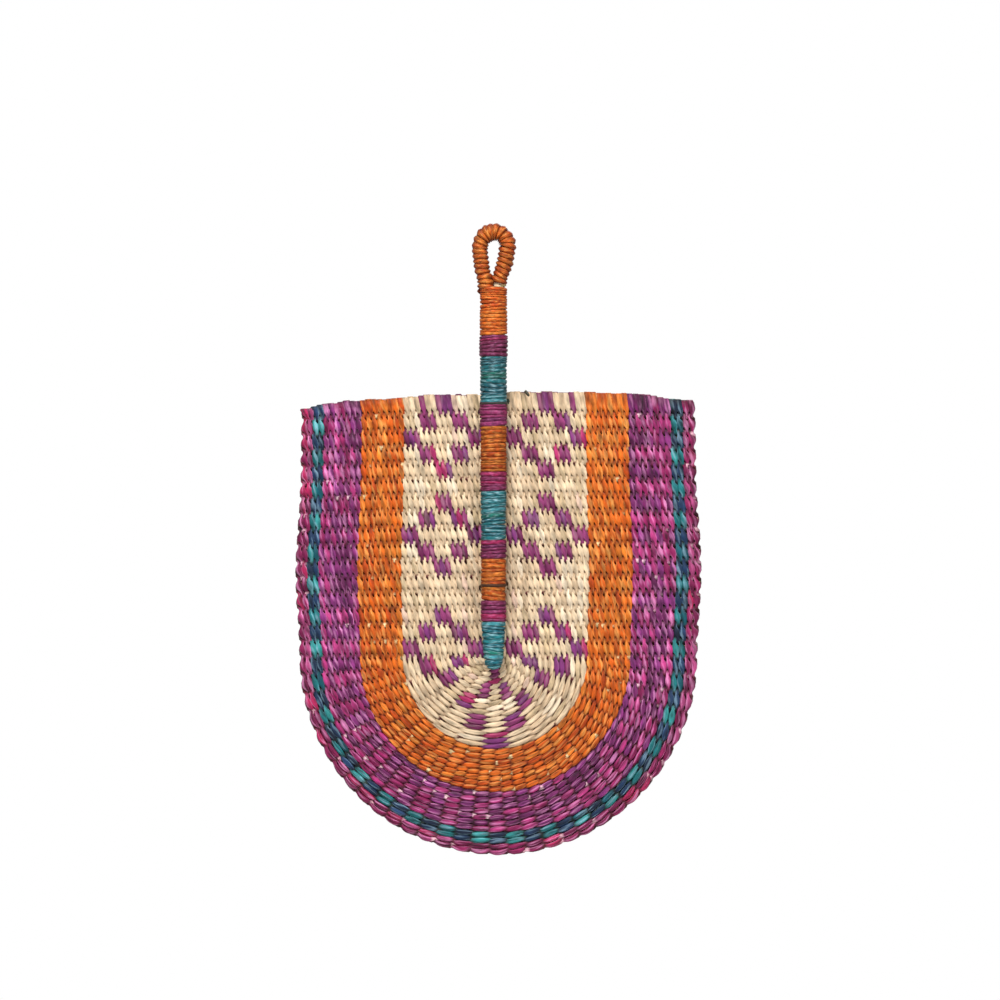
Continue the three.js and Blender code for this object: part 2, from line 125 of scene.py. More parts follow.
def stem_finish(name, turn):
    """Dry undyed stems that lie along Z, turned about Y."""
    material, start = new_finish(name)
    place = start.node("ShaderNodeTexCoord", output="Object")

    def drawn_out(width, length):
        """A place measured in stems or fibres of this width and length."""
        sockets = {"Vector": place, "Rotation": (0, turn, 0), "Scale": (width, width, length)}
        return start.node("ShaderNodeMapping", {"vector_type": "TEXTURE"}, sockets)

    stem_width, stem_length = 0.0011, 0.03
    stems = {"Vector": drawn_out(stem_width, stem_length), "Scale": 1.0}
    stems = start.node("ShaderNodeTexVoronoi", {"feature": "F1"}, stems)
    fibre_width, fibre_length = 0.00025, 0.008
    fibres = {"Vector": drawn_out(fibre_width, fibre_length), "Scale": 1.0, "Detail": 3.0}
    fibres = start.node("ShaderNodeTexNoise", None, fibres)
    straw = (*linear(214, 193, 142), 1)
    husk = (*linear(158, 128, 78), 1)
    stops = [(0.25, husk), (0.7, straw)]
    colour = start.node("ShaderNodeValToRGB", {"stops": stops}, {"Fac": fibres})
    # Painted shade darkens the grooves between the stems, and the relief makes them deeper
    colour = colour.scaled(1.1 - 0.5 * stems)
    relief = 0.7 * (1 - stems) + 0.3 * fibres
    finish_with(start, colour, roughness=0.62, relief=relief, depth=0.0004)
    return material


def dress(node, material):
    """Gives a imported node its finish."""
    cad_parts[node].data.materials.clear()
    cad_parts[node].data.materials.append(material)


upright_stems = stem_finish("upright_stems", 0.0)
dress("handle_core", upright_stems)


# Eye bundle: more stems, bent double into a loop, with both legs pushed down into the handle.
# A little of the right leg shows, pale, where the eye's wrapping stops short of the collar.
dress("eye_core", upright_stems)


# Eye wrapping: one strand of orange grass wound round the loop, each turn a pointed ridge. It starts under
# the collar at the left leg, goes over the crown and ends just above the collar at the right leg, where an
# undyed end of grass shows. Each strand is a closed tube that follows its line, with its dye ring by ring.
MM = 0.001
SIDES = 8
SEED = 41  # every random draw in the script follows from it, in order
chance = random.Random(SEED)


def strand_rings(centres, sideways, half_width, half_depth, sides=SIDES, crest=1.0):
    """Rings of points round a strand: centres run along it, and sideways points across its flat.
    A crest over 1 makes the rings pointed, and one under 1 flattens them."""
    along = np.gradient(centres, axis=0)
    along /= np.linalg.norm(along, axis=1, keepdims=True)
    across = sideways - along * np.sum(sideways * along, axis=1, keepdims=True)
    across /= np.linalg.norm(across, axis=1, keepdims=True)
    outward = np.cross(along, across)
    angle = np.arange(sides) / sides * 2 * np.pi
    crest = np.reshape(crest, (-1, 1))
    wide = np.sign(np.cos(angle)) * np.abs(np.cos(angle)) ** crest
    deep = np.sign(np.sin(angle)) * np.abs(np.sin(angle)) ** crest
    wide = (half_width[:, None] * wide)[..., None] * across[:, None]
    deep = (half_depth[:, None] * deep)[..., None] * outward[:, None]
    return centres[:, None] + wide + deep


def strand_piece(name, strands, material, groove_shade=0.1):
    """A mesh of closed strands, each given as its rings in mm and the dyes of the rings or of their points.
    The fourth part of a dye is the light painted on it, less where shade is painted. Groove shade is how much
    painted shade darkens the sides. UV runs along each strand in cm and round it."""
    points, faces, shades, marks = [], [], [], []
    base = 0
    most_shift = 40  # moves the streaks of each strand, so that no two look the same
    for rings, dyes in strands:
        count, sides = rings.shape[:2]
        steps = np.linalg.norm(np.diff(rings.mean(axis=1), axis=0), axis=1)
        length = np.concatenate([[0], np.cumsum(steps)]) / 10
        shift = chance.uniform(0, most_shift)
        points.append(rings.reshape(-1, 3))
        # Painted shade: the sides of each strand are painted darker, by as much as the groove shade says
        flank_shade = 1 - groove_shade * np.cos(np.arange(sides) / sides * 2 * np.pi) ** 2
        shade = np.repeat(dyes[:, None], sides, axis=1) if dyes.ndim == 2 else dyes
        shade[..., 3] *= flank_shade
        shades.append(shade.reshape(-1, 4))
        for i in range(count - 1):
            row = base + i * sides
            for j in range(sides):
                k = (j + 1) % sides
                faces.append((row + j, row + k, row + sides + k, row + sides + j))
                low, high = j / sides + shift, (j + 1) / sides + shift
                marks += (length[i], low, length[i], high, length[i + 1], high, length[i + 1], low)
        last = base + (count - 1) * sides
        first_cap, last_cap = range(base + sides - 1, base - 1, -1), range(last, last + sides)
        for ring, end in ((first_cap, 0), (last_cap, -1)):
            faces.append(tuple(ring))
            for vertex in ring:
                marks += (length[end], (vertex - base) % sides / sides + shift)
        base += count * sides
    mesh = bpy.data.meshes.new(name)
    mesh.from_pydata(np.concatenate(points) * MM, [], faces)
    mesh.uv_layers.new(name="UVMap").data.foreach_set("uv", marks)
    dye = mesh.color_attributes.new(name="dye", type="FLOAT_COLOR", domain="POINT")
    dye.data.foreach_set("color", np.concatenate(shades).ravel())
    mesh.shade_smooth()
    mesh.materials.append(material)
    piece = bpy.data.objects.new(name, mesh)
    scene.collection.objects.link(piece)
    return piece


# Painted shade: what a tucked away strand keeps of its dye, warm, from the light off its neighbours
SHADOW = (0.2, 0.12, 0.085, 1)
FULL_LIGHT = (1, 1, 1, 1)


def grass_finish(name, bleach_and_sheen, share, fibres=1.0, streaks=6.5, contrast=2.4):
    """Split grass: the strand's own dye, streaked along its fibres, paler in places by up to a share, where
    the grass is bleached and where a painted sheen lies, and with painted shade where it is tucked away from
    the light.
    Fibres is how many streaks follow one another in a cm, and streaks how many lie round the strand. Contrast
    is how much darker and lighter they are."""
    material, start = new_finish(name)
    strand = {"attribute_name": "dye"}
    dye = start.node("ShaderNodeAttribute", strand, output="Color")
    light = start.node("ShaderNodeAttribute", strand, output="Alpha")
    along = start.node("ShaderNodeUVMap", {"uv_map": "UVMap"})

    def streaked(lengthwise, round_it, detail):
        """Noise in streaks, so many in a cm and so many round the strand."""
        place = {"Vector": along, "Scale": (lengthwise, round_it, 1.0)}
        place = start.node("ShaderNodeMapping", None, place)
        noise = {"Vector": place, "Scale": 1.0, "Detail": detail}
        return start.node("ShaderNodeTexNoise", {"noise_dimensions": "2D"}, noise)

    fine = streaked(fibres, streaks, 3.0)
    broad = streaked(0.7 * fibres, 1.2 * streaks, 1.0)
    # Paler patches, partly bleached grass and partly a painted sheen
    patches = {"Value": broad, "From Min": 0.5, "From Max": 0.68, "To Min": 0.0, "To Max": share}
    patches = start.node("ShaderNodeMapRange", None, patches)
    # Painted shade: the dye is multiplied towards the shadow colour where less light is painted on
    shadow = {0: light, 6: SHADOW, 7: FULL_LIGHT}
    shadow = start.node("ShaderNodeMix", {"data_type": "RGBA"}, shadow, output=2)
    colour = dye.mixed((*bleach_and_sheen, 1), patches).mixed(shadow, 1.0, "MULTIPLY")
    colour = colour.scaled(contrast * fine + (1 - contrast / 2))
    finish_with(start, colour, roughness=0.74 - 0.3 * fine, relief=fine, depth=0.00025)
    return material


def strand_dyes(palette, count, most=1, tone=1.0):
    """Dyes for the stitches or half turns of a strand, out of a palette of [colour, how often]. Up to so many
    in a row share one colour, each a little lighter or darker. A tone under 1 is a deeper dye."""
    colours, weights = zip(*palette)
    dyes = []
    while len(dyes) < count:
        colour = chance.choices(colours, weights)[0]
        for _ in range(chance.randint(1, most)):
            strength = tone * chance.uniform(0.92, 1.08)
            dyes.append([part * strength for part in colour])
    return dyes[:count]


def dye_along(dyes, at):
    """The dye and full light at each place of a strand, between given dyes."""
    dyes = np.array(dyes)
    parts = [np.interp(at, np.arange(len(dyes)), dyes[:, i]) for i in range(3)]
    return np.stack([*parts, np.ones(len(at))], axis=1)


orange_dyes = [
    [linear(208, 97, 22), 5],
    [linear(198, 86, 16), 4],
    [linear(218, 116, 36), 2],
    [linear(184, 70, 10), 2],
    [linear(196, 104, 28), 1],
]
orange_winding = grass_finish("orange_winding_grass", linear(236, 170, 84), 0.4, fibres=3.4, streaks=7.0)

# The line of the eye in x and z. The legs press together below the opening, a little left of the middle.
HANDLE_TOP = -29.5
left_leg = [(-4.5, -31.8), (-4.8, -27.4), (-5.3, -24.0), (-6.9, -19.3), (-7.8, -13.0), (-8.6, -5.4)]
crown = [(-8.0, -1.4), (-6.1, 2.3), (-3.0, 4.7), (0.6, 5.5), (4.3, 4.6), (7.3, 2.1), (8.8, -1.6)]
right_leg = [(8.6, -5.4), (7.4, -13.0), (5.4, -19.3), (3.8, -24.0), (3.0, -28.8)]
eye_points = [np.array((x, 0.0, z)) for x, z in left_leg + crown + right_leg]


def smooth_line(points, steps):
    """A curve through points, as a strand bends, with as many steps between each two."""
    ends = [2 * points[0] - points[1], *points, 2 * points[-1] - points[-2]]
    line = []
    for before, low, high, after in zip(ends, ends[1:], ends[2:], ends[3:]):
        for step in range(steps):
            t = step / steps
            bend = (2 * before - 5 * low + 4 * high - after) * t * t
            bend += (3 * low - before - 3 * high + after) * t ** 3
            line.append(low + 0.5 * ((high - before) * t + bend))
    line.append(points[-1])
    return np.array(line)


def along_line(line, run, at):
    """Points on a line, so far along it."""
    return np.stack([np.interp(at, run, line[:, i]) for i in range(3)], axis=1)


def wandering(count, most):
    """Numbers that wander up and down at random, one for each turn of a winding."""
    steps = [chance.uniform(-most, most) for _ in range(count + 2)]
    return np.array([(a + 2 * b + c) / 2.5 for a, b, c in zip(steps, steps[1:], steps[2:])])


eye_line = smooth_line(eye_points, steps=12)
eye_run = np.concatenate([[0], np.cumsum(np.linalg.norm(np.diff(eye_line, axis=0), axis=1))])
EYE_TURNS = 25
STEPS = 20  # rings in a turn of a wrapping
OVERLAP = 0.56  # half the width of a turn over its pitch, so that the turns press on one another
# Painted shade: the edges of each turn of a wrapping are painted darker
WINDING_GROOVE_SHADE = 0.5  # how much less light reaches the edges of a turn, against the next ones
# Painted shade: a turn is painted darker where it goes round the side
SIDE_SHADE = 0.5  # how much less light reaches a turn where it goes round the side
EYE_FOOT = 2.9  # from the line of the eye to the inside of its wrapping
EYE_START = 0.2  # how far along its line the wrapping starts
EYE_GAP = 2.9  # and how far before the line's end it stops, above the collar
crown_run = eye_run[np.argmax(eye_line[:, 2])]


def eye_outside(at):
    """From the line of the eye to the outside of its wrapping, thickest at the crown and the legs."""
    from_crown = [0, 4, 8, 14, 34, 42]
    halves = [6.3, 5.7, 5.2, 5.6, 5.6, 6.3]
    return np.interp(np.abs(at - crown_run), from_crown, halves)


def wound_round_eye(first, last, count, outside, dyes, edge_shade):
    """A strand wound round the loop of the eye, so many times from one place on it to another. Outside gives
    how far out it reaches, and where it turns round the sides its dye is painted darker with the edge shade."""
    turns = np.linspace(0, count, count * STEPS + 1)
    numbers = np.arange(count + 1)
    pitch = (last - first) / count
    drift = wandering(count + 1, most=0.3) * np.sin(np.pi * numbers / count)
    at = first + pitch * (turns + np.interp(turns, numbers, drift))
    centres = along_line(eye_line, eye_run, at)
    step = 0.4
    tangent = along_line(eye_line, eye_run, at + step) - along_line(eye_line, eye_run, at - step)
    tangent /= np.linalg.norm(tangent, axis=1, keepdims=True)
    side = np.stack([-tangent[:, 2], np.zeros(len(turns)), tangent[:, 0]], axis=1)
    bend = np.gradient(np.unwrap(np.arctan2(tangent[:, 0], tangent[:, 2])), at)
    angle = turns * 2 * np.pi
    ridge = np.interp(turns, numbers, wandering(count + 1, most=0.45))
    outer = outside(at) + ridge
    middle = (outer + EYE_FOOT) / 2
    direction = side * np.cos(angle)[:, None] + np.array([0, 1, 0]) * np.sin(angle)[:, None]
    centres += direction * middle[:, None]
    # A turn has less room inside the bend than outside it
    room = pitch * (1 + middle * np.cos(angle) * bend)
    rings = strand_rings(centres, tangent, room * OVERLAP, (outer - EYE_FOOT) / 2, crest=1.6)
    shades = dye_along(dyes, turns * 2)
    # Painted shade: towards the sides the dye turns to the edge shade colour, and less light is painted on
    edge = np.cos(angle) ** 2
    most_shaded = 0.85
    shades[:, :3] += (np.array(edge_shade) - shades[:, :3]) * most_shaded * edge[:, None]
    shades[:, 3] = 1 - SIDE_SHADE * edge
    return rings, shades


EYE_END = eye_run[-1] - EYE_GAP
# The painted shade colour at the sides of the eye's turns
eye_edge_shade = linear(126, 30, 18)
eye_dyes = strand_dyes(orange_dyes, 2 * EYE_TURNS + 1, tone=0.8)
orange_turns = wound_round_eye(EYE_START, EYE_END, EYE_TURNS, eye_outside, eye_dyes, eye_edge_shade)
undyed = linear(240, 226, 200)
UNDYED_HALF = 3.7  # from the line of the eye to the outside of the undyed end
undyed_end = (EYE_END - 0.6, eye_run[-1] + 0.4)
undyed_turns = wound_round_eye(*undyed_end, 2, lambda at: UNDYED_HALF, [undyed] * 5, undyed)
eye_wrap = strand_piece("eye_winding", [orange_turns, undyed_turns], orange_winding, WINDING_GROOVE_SHADE)
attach(eye_wrap, "root")
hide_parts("eye_wrap")


# Collar and grip wrappings: flat strands of orange, purple and teal grass, wound on one after another down
# the handle. Each lies level round the front and steps down to the next turn at the rear. The last closes
# over the bundle's end.
purple_dyes = [
    [linear(128, 38, 82), 5],
    [linear(140, 46, 98), 3],
    [linear(178, 38, 94), 3],
    [linear(98, 28, 74), 2],
]
teal_dyes = [
    [linear(34, 124, 132), 5],
    [linear(22, 100, 114), 3],
    [linear(68, 150, 160), 2],
    [linear(26, 118, 104), 1],
]
purple_winding = grass_finish("purple_winding_grass", linear(206, 118, 170), 0.3, fibres=3.4, streaks=7.0)
teal_winding = grass_finish("teal_winding_grass", linear(170, 206, 216), 0.45, fibres=3.0, streaks=7.0)

FLATNESS = 0.76  # depth of the handle over its width
WRAP = 1.4  # thickness of the wrapping


def eased(share):
    """A share from 0 to 1 that starts and ends gently."""
    share = np.clip(share, 0, 1)
    return share * share * (3 - 2 * share)


# The wrappings from the top down: node, dye, height, turns and tone
bands = [
    ["collar_wrap", "orange", 30.4, 15, 0.98],
    ["grip_wrap_01_purple", "purple", 13.3, 6, 0.56],
    ["grip_wrap_02_teal", "teal", 29.8, 13, 0.62],
    ["grip_wrap_03_purple", "purple", 14.3, 6, 1.05],
    ["grip_wrap_04_orange", "orange", 28.8, 12, 0.7],
    ["grip_wrap_05_purple", "purple", 12.1, 5, 0.75],
    ["grip_wrap_06_teal", "teal", 31.1, 12, 0.7],
    ["grip_wrap_07_purple", "purple", 11.4, 5, 0.75],
    ["grip_wrap_08_orange", "orange", 17.1, 6, 0.78],
    ["grip_wrap_09_orange", "orange", 9.8, 3, 0.78],
    ["grip_wrap_10_purple", "purple", 13.0, 5, 0.75],
    ["grip_wrap_11_teal", "teal", 29.5, 11, 0.95],
]
HANDLE_LENGTH = sum(band[2] for band in bands)
TAPER = HANDLE_LENGTH - bands[-1][2]  # how far down the last wrapping starts, which narrows to the tip
# Half the width of the wrapped handle at some places down from its top
handle_downs = [0, 43.7, 51.7, TAPER, TAPER + 13, TAPER + 22.5, TAPER + 27, HANDLE_LENGTH]
handle_halves = [8.7, 8.8, 8.6, 7.7, 7.2, 6.5, 5.5, 3.4]


def handle_half(down):
    """Half the width of the wrapped handle, so far down from its top."""
    return np.interp(down, handle_downs, handle_halves)


def round_handle(down, angle, sunk):
    """Points on the handle, so far down and turned from the right side, sunk under the wrapping's crest."""
    half = handle_half(down)
    x = (half - sunk) * np.cos(angle)
    y = (half * FLATNESS - sunk) * np.sin(angle)
    return np.stack([x, y, HANDLE_TOP - down], axis=1)


def upright(count):
    """The way up at each of so many points of a strand, which is the way across its flat on the handle."""
    return np.tile([0.0, 0.0, 1.0], (count, 1))


def wound_down_handle(top, height, count, palette, tone, thickening):
    """A strand wound round the handle so many times, in turns of uneven width that fill a height from so far
    down its top. Thickening is how much further than others it stands out."""
    step_start = 0.84  # share of a turn that lies level, before the step to the next one
    widths = np.array([chance.uniform(0.6, 1.4) for _ in range(count)])
    edges = top + np.concatenate([[0], np.cumsum(widths)]) * height / widths.sum()
    numbers = np.arange(count + 1)
    turns = np.linspace(step_start - 1, count, count * STEPS + 4)
    level = np.floor(turns) + eased((turns - np.floor(turns) - step_start) / (1 - step_start))
    upper = np.interp(level, numbers, edges)
    lower = np.interp(level + 1, numbers, edges)
    angle = turns * 2 * np.pi + np.pi / 2
    tilt = np.interp(turns, numbers, wandering(count + 1, most=0.9))
    bow = np.interp(turns, numbers, wandering(count + 1, most=0.3))
    down = (upper + lower) / 2 + tilt * np.cos(angle) + bow * np.sin(angle)
    narrowest = 0.15
    half_width = np.maximum((lower - upper) * OVERLAP, narrowest)
    down = np.clip(down, top + half_width * 0.8, top + height - half_width * 0.8)
    proud = np.interp(turns, numbers, wandering(count + 1, most=0.16)) + thickening
    centres = round_handle(down, angle, WRAP * 0.55 - proud)
    half_depth = np.full(len(turns), WRAP * 0.58)
    rings = strand_rings(centres, upright(len(turns)), half_width, half_depth, crest=1.15)
    shades = dye_along(strand_dyes(palette, 2 * count + 2, most=2, tone=tone), (turns + 1) * 2)
    # Painted shade, darker at the sides of the handle
    shades[:, 3] = 1.05 - SIDE_SHADE * np.cos(angle) ** 2
    return rings, shades


def closed_tip(dyes):
    """Two more turns that start in the wrapping's last one, narrow and bulge down over the bundle's end."""
    closing = np.linspace(0, 2, 2 * STEPS)
    share = 1 - closing / 2.1
    half = handle_halves[-1] + 0.6
    start_above, bulge = 1.2, 1.3
    x = half * share * np.cos(closing * 2 * np.pi)
    y = half * share * np.sin(closing * 2 * np.pi) * FLATNESS
    z = HANDLE_TOP - HANDLE_LENGTH + start_above - bulge * (1 - share ** 2)
    half_width, half_depth = np.full(len(closing), 1.0), np.full(len(closing), 1.1)
    rings = strand_rings(np.stack([x, y, z], axis=1), upright(len(closing)), half_width, half_depth)
    return rings, dye_along(dyes, closing * 2)


band_top = 0.0
grass = {"orange": orange_winding, "purple": purple_winding, "teal": teal_winding}
palettes = {"orange": orange_dyes, "purple": purple_dyes, "teal": teal_dyes}
PURPLE_THICKENING = 0.4  # the purple strands are a little thicker
for name, colour, height, count, tone in bands:
    thickening = PURPLE_THICKENING if colour == "purple" else 0
    strands = [wound_down_handle(band_top, height, count, palettes[colour], tone, thickening)]
    if name == bands[-1][0]:
        strands.append(closed_tip(strand_dyes(teal_dyes, 5, tone=tone)))
    band = strand_piece(name.replace("wrap", "winding"), strands, grass[colour], WINDING_GROOVE_SHADE)
    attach(band, "root")
    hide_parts(name)
    band_top += height


# Cross spokes: sixteen bundles of pale stems that run from edge to edge behind the handle.
# The weft holds them, and only their cut ends and glimpses between the stitches show.
level_stems = stem_finish("level_stems", math.pi / 2)
ROWS = 16
for row in range(ROWS):
    dress(f"cross_spoke_{row + 1:02d}", level_stems)


# Radial spokes: eleven bundles of the same stems that fan out round the end of the handle, and divide in two
# and then in three. The count is odd, so that one runs straight down.
RADIALS = 11
for number in range(RADIALS):
    lean = (number + 0.5) * math.pi / RADIALS - math.pi / 2
    dress(f"radial_spoke_{number + 1:02d}", stem_finish(f"radial_stems_{number + 1:02d}", -lean))


# Natural weft: the middle of the blade, seventeen courses of split undyed grass. Each is a pair of strands
# twisted half a turn between spokes, so that one passes in front of a spoke and the other behind it, and
# turned over the last spoke at the top. Dyed strands worked in make the purple lozenges and maroon specks.
ROW_PITCH = 10.3
BLADE_TOP = HANDLE_TOP - 69.0
STRAIGHT = ROWS * ROW_PITCH  # height of the straight part over the round
ROUND_Z = BLADE_TOP - STRAIGHT
# From the middle of the blade to the outer edge of each colour
CREAM_REACH = 58.4
ORANGE_REACH = 85.6
PURPLE_REACH = 111.2
TEAL_REACH = 118.6
RIM_REACH = 125.0
SIDE_WIDTH = 127.5  # half the width of the straight part at its widest
WEAVE_X = 1.0  # the weave lies a little to the right of the handle
RIM_LEAN = 2.2  # and the rim this much further
LEFT_DROP = 5.0  # how far the top edge falls towards each side
RIGHT_DROP = 2.5
SPOKE_Y = 9.66  # the middle of the spokes, behind the handle
FLOAT_DEPTH = 2.05  # from the middle of the spokes to that of a strand in front of them or behind them
CROSS_RISE = 1.6  # how far both strands stand to the front where they cross
TIP = 0.28  # half a strand's width at the crossing, as a share of the course's width
STITCH_STEPS = 8  # rings in a stitch
STITCH_SIDES = 6  # points in a ring
# How far the turns over the last spoke rise above the top edge, from the middle of the blade to the rim
TOP_REACHES = [0, 40, 60, 95, 110, 118, 125]
LEFT_RISES = [1.5, 2.0, 0.4, 0.2, -0.8, -2.1, -3.4]
RIGHT_RISES = [3.0, 3.6, 3.8, 3.2, 1.2, 0.4, 0.0]


def lean_at(reach):
    """How far a course lies to the right, so far from the middle."""
    return np.interp(reach, [ORANGE_REACH, RIM_REACH], [0, RIM_LEAN])


def swell_at(rise):
    """Width of the blade over its width at the round, so high up its straight part."""
    stations = [(0, 1), (1 / 3, 1.02), (3 / 4, 0.992), (1, 0.988)]
    value = np.full(np.shape(rise), 1.0)
    for (low, start), (high, stop) in zip(stations, stations[1:]):
        swell = start + (stop - start) * eased((rise - low) / (high - low))
        value = np.where(rise >= low, swell, value)
    return value


def blade_place(reach, place, sectors):
    """X and Z on the blade. Place counts rows down the left, sectors round the end and rows up the right."""
    left = place < ROWS
    right = place > ROWS + sectors
    rise = np.where(left, 1 - place / ROWS, np.where(right, (place - ROWS - sectors) / ROWS, 0))
    side_x = np.where(left, -1, 1) * reach * swell_at(rise)
    drop = np.where(left, LEFT_DROP, RIGHT_DROP) * (side_x / SIDE_WIDTH) ** 2
    side_z = ROUND_Z + rise * (STRAIGHT - drop)
    angle = (place - ROWS) / sectors * np.pi - np.pi / 2
    in_round = ~left & ~right
    x = np.where(in_round, reach * np.sin(angle), side_x)
    z = np.where(in_round, ROUND_Z - reach * np.cos(angle), side_z)
    return np.stack([WEAVE_X + lean_at(reach) + x, z], axis=-1)


def strand_lay(reach, places, sectors):
    """Points of the line of a course in the plane of the spokes, and the way across it at each."""
    here = blade_place(reach, places, sectors)
    beyond = blade_place(reach + 1, places, sectors)
    centres, sideways = np.zeros((2, len(places), 3))
    centres[:, [0, 2]] = here
    centres[:, 1] = SPOKE_Y
    sideways[:, [0, 2]] = beyond - here
    sideways /= np.linalg.norm(sideways, axis=1, keepdims=True)
    return centres, sideways


def weave_strand(reach, width, sectors, number, dyes, fullness=0.64, twist=0.28, lobe=0.0, specks=0.0):
    """One strand of a pair: its rings down the left side, round the end and up the right, and their dyes.
    As shares of the course's width, fullness is half the strand's width in front of a spoke, and twist is how
    far it swings to the side where the pair crosses. Lobe is how far it bulges out, in mm. Specks is at how
    many of its lower tips the last of the dyes shows."""
    total = 2 * ROWS + sectors
    place = np.arange(0.5, total - 0.5 + 1e-6, 1 / STITCH_STEPS)
    # Ahead runs from -1 to 1 past each place where the strand lies in front. Off is how far it is from the
    # crossing, up to 0.5 at a spoke, and near is the same but negative where the strand lies behind.
    ahead = (place - 0.5 - number + 1) % 2 - 1
    phase = np.pi * (place - 0.5 + number)
    over = np.abs(np.cos(phase))
    off = np.arcsin(over) / np.pi
    near = np.where(np.abs(ahead) > 0.5, -off, off)
    # Bottom is 1 in the lower part of the round, where the stitches are rounder, and less near the middle
    from_bottom = np.abs(place - total / 2) / (sectors / 2 + 1)
    bottom = eased(1.7 - 1.7 * from_bottom) * np.clip(reach / 60, 0.3, 1)
    # Lower is 1 at the lower end of a stitch and -1 at its upper end, in the straight part
    fall = np.gradient(blade_place(reach, place, sectors)[:, 1], place) / ROW_PITCH
    lower = np.clip(-fall * 4 * ahead, -1, 1)
    # From a crossing to the next spoke the strand spreads to its full width, moves to the front or the rear,
    # and swings back to the middle of its course
    opening = np.where(near > 0.01, 0.14 - 0.05 * bottom, -0.12)
    spread = eased((off - opening) / 0.28)
    forward = np.sign(near) * eased((off - 0.08) / 0.26) ** 0.8
    cross = np.sign(np.sin(phase)) * np.clip((0.5 - off) / 0.4, 0, 1)
    halves = np.arange(2 * total + 1) / 2

    def uneven(most):
        """A small number at each place, which changes at random from one half stitch to the next."""
        return np.interp(place, halves, [chance.uniform(-most, most) for _ in halves])

    depth = -FLOAT_DEPTH * forward * (0.85 + 0.15 * over) * (1 + uneven(0.05))
    depth -= CROSS_RISE * (1 - forward ** 2)
    lateral = width * (uneven(0.04) - twist * (1 - 0.5 * bottom) * cross) + lobe * (over - 0.5)
    tip = TIP + 0.1 * bottom
    full = fullness * (1 - 0.2 * bottom)
    half_width = width * (tip + (full - tip) * spread) * (1 + uneven(0.05))
    half_depth = 0.5 + 0.34 * over
    # Painted shade: the light painted on fades towards the end that goes behind, sooner at the upper end, and
    # comes back at the rear
    near = near + uneven(0.05)
    tail = eased((near + 0.18 - 0.1 * bottom) / 0.34)
    head = eased((near + 0.24 - 0.05 * bottom) / 0.32)
    rear = eased((-near - 0.26) / 0.16)
    light = np.maximum(head + (tail - head) * (1 + lower) / 2, rear)
    half_width = half_width * (1 + 0.2 * rear)
    along = place + uneven(0.05)
    stitch = np.clip(2 * np.round((place - 0.5 - number) / 2) + number, 0, total - 1).astype(int)
    speckled = np.array([chance.random() < specks for _ in range(total + 1)])
    at_tip = (near < 0.12 * bottom) & (near > -0.2) & (lower > 0)
    stitch = np.where(speckled[np.round(place).astype(int)] & at_tip, len(dyes) - 1, stitch)

    # The turn over the last spoke at each end, from its upper side back to where the strand lies flat. Face
    # is 1 for an end that lies in front of that spoke and -1 for one behind it.
    turn = np.radians([96, 72, 48, 24, 0, 0])
    rings_in_turn = len(turn)
    up_turn = np.array([2, 2, 2, 2, 2, 1]) + 2.4 * np.sin(turn)
    rise_share = np.array([1, 1, 0.9, 0.7, 0.4, 0.2])
    high = []
    for side_rises in (LEFT_RISES, RIGHT_RISES):
        rise = np.interp(reach, TOP_REACHES, side_rises) + chance.uniform(-0.7, 0.4)
        high.append(up_turn + rise * rise_share)
    face = [1 if number == 0 else -1, 1 if (total - 1 + number) % 2 == 0 else -1]
    turn_depth = -FLOAT_DEPTH * np.cos(turn)
    turn_lean = 0.35 * width * np.array([1, 0.9, 0.8, 0.6, 0.4, 0.2])
    # Painted shade on the turns over the last spoke, darkest at the top
    turn_light = np.array([0.45, 0.5, 0.55, 0.65, 0.75, 0.85])
    along = np.concatenate([0.5 - high[0] / ROW_PITCH, along, total - 0.5 + high[1][::-1] / ROW_PITCH])
    depth = np.concatenate([face[0] * turn_depth, depth, face[1] * turn_depth[::-1]])
    lateral, half_width, half_depth, light, stitch, bottom = (
        np.concatenate([np.full(rings_in_turn, values[0]), values, np.full(rings_in_turn, values[-1])])
        for values in (lateral, half_width, half_depth, light, stitch, bottom)
    )
    lateral[:rings_in_turn] += turn_lean
    lateral[-rings_in_turn:] -= turn_lean[::-1]
    half_width[[0, 1, 2, -3, -2, -1]] *= 0.9
    light[:rings_in_turn] *= turn_light
    light[-rings_in_turn:] *= turn_light[::-1]

    centres, sideways = strand_lay(reach, along, sectors)
    centres[:, 1] += depth
    centres += sideways * lateral[:, None]
    rings = strand_rings(centres, sideways, half_width, half_depth, STITCH_SIDES, 0.35 + 0.5 * bottom)
    shades = np.array([[[*dyes[i], 1.0]] * STITCH_SIDES for i in stitch])
    seam = np.cos(np.arange(STITCH_SIDES) / STITCH_SIDES * 2 * np.pi) ** 2
    # Painted shade at the tips and, deeper in the round, along the edges. A pale dye scatters more light into
    # the gaps, so its tips are painted less dark
    dimness = 1.45 + 0.1 * bottom[:, None] - 1.75 * shades[..., :3].mean(axis=2)
    edge_light = 1 - (0.08 + 0.3 * bottom[:, None]) * seam
    shades[..., 3] = (1 - dimness * (1 - light[:, None])) * edge_light
    return rings, shades


def courses(inner, outer, count):
    """The reach and the width of each course of a band."""
    width = (outer - inner) / count
    return [(inner + (i + 0.5) * width, width) for i in range(count)]


def sector_count(course):
    """Stitches of a course in the half round: more as it widens and the spokes divide."""
    steps = [(0, 1), (1, 3), (2, 5), (3, 7), (5, 11), (17, 22), (21, 33)]
    return [sectors for start, sectors in steps if course >= start][-1]


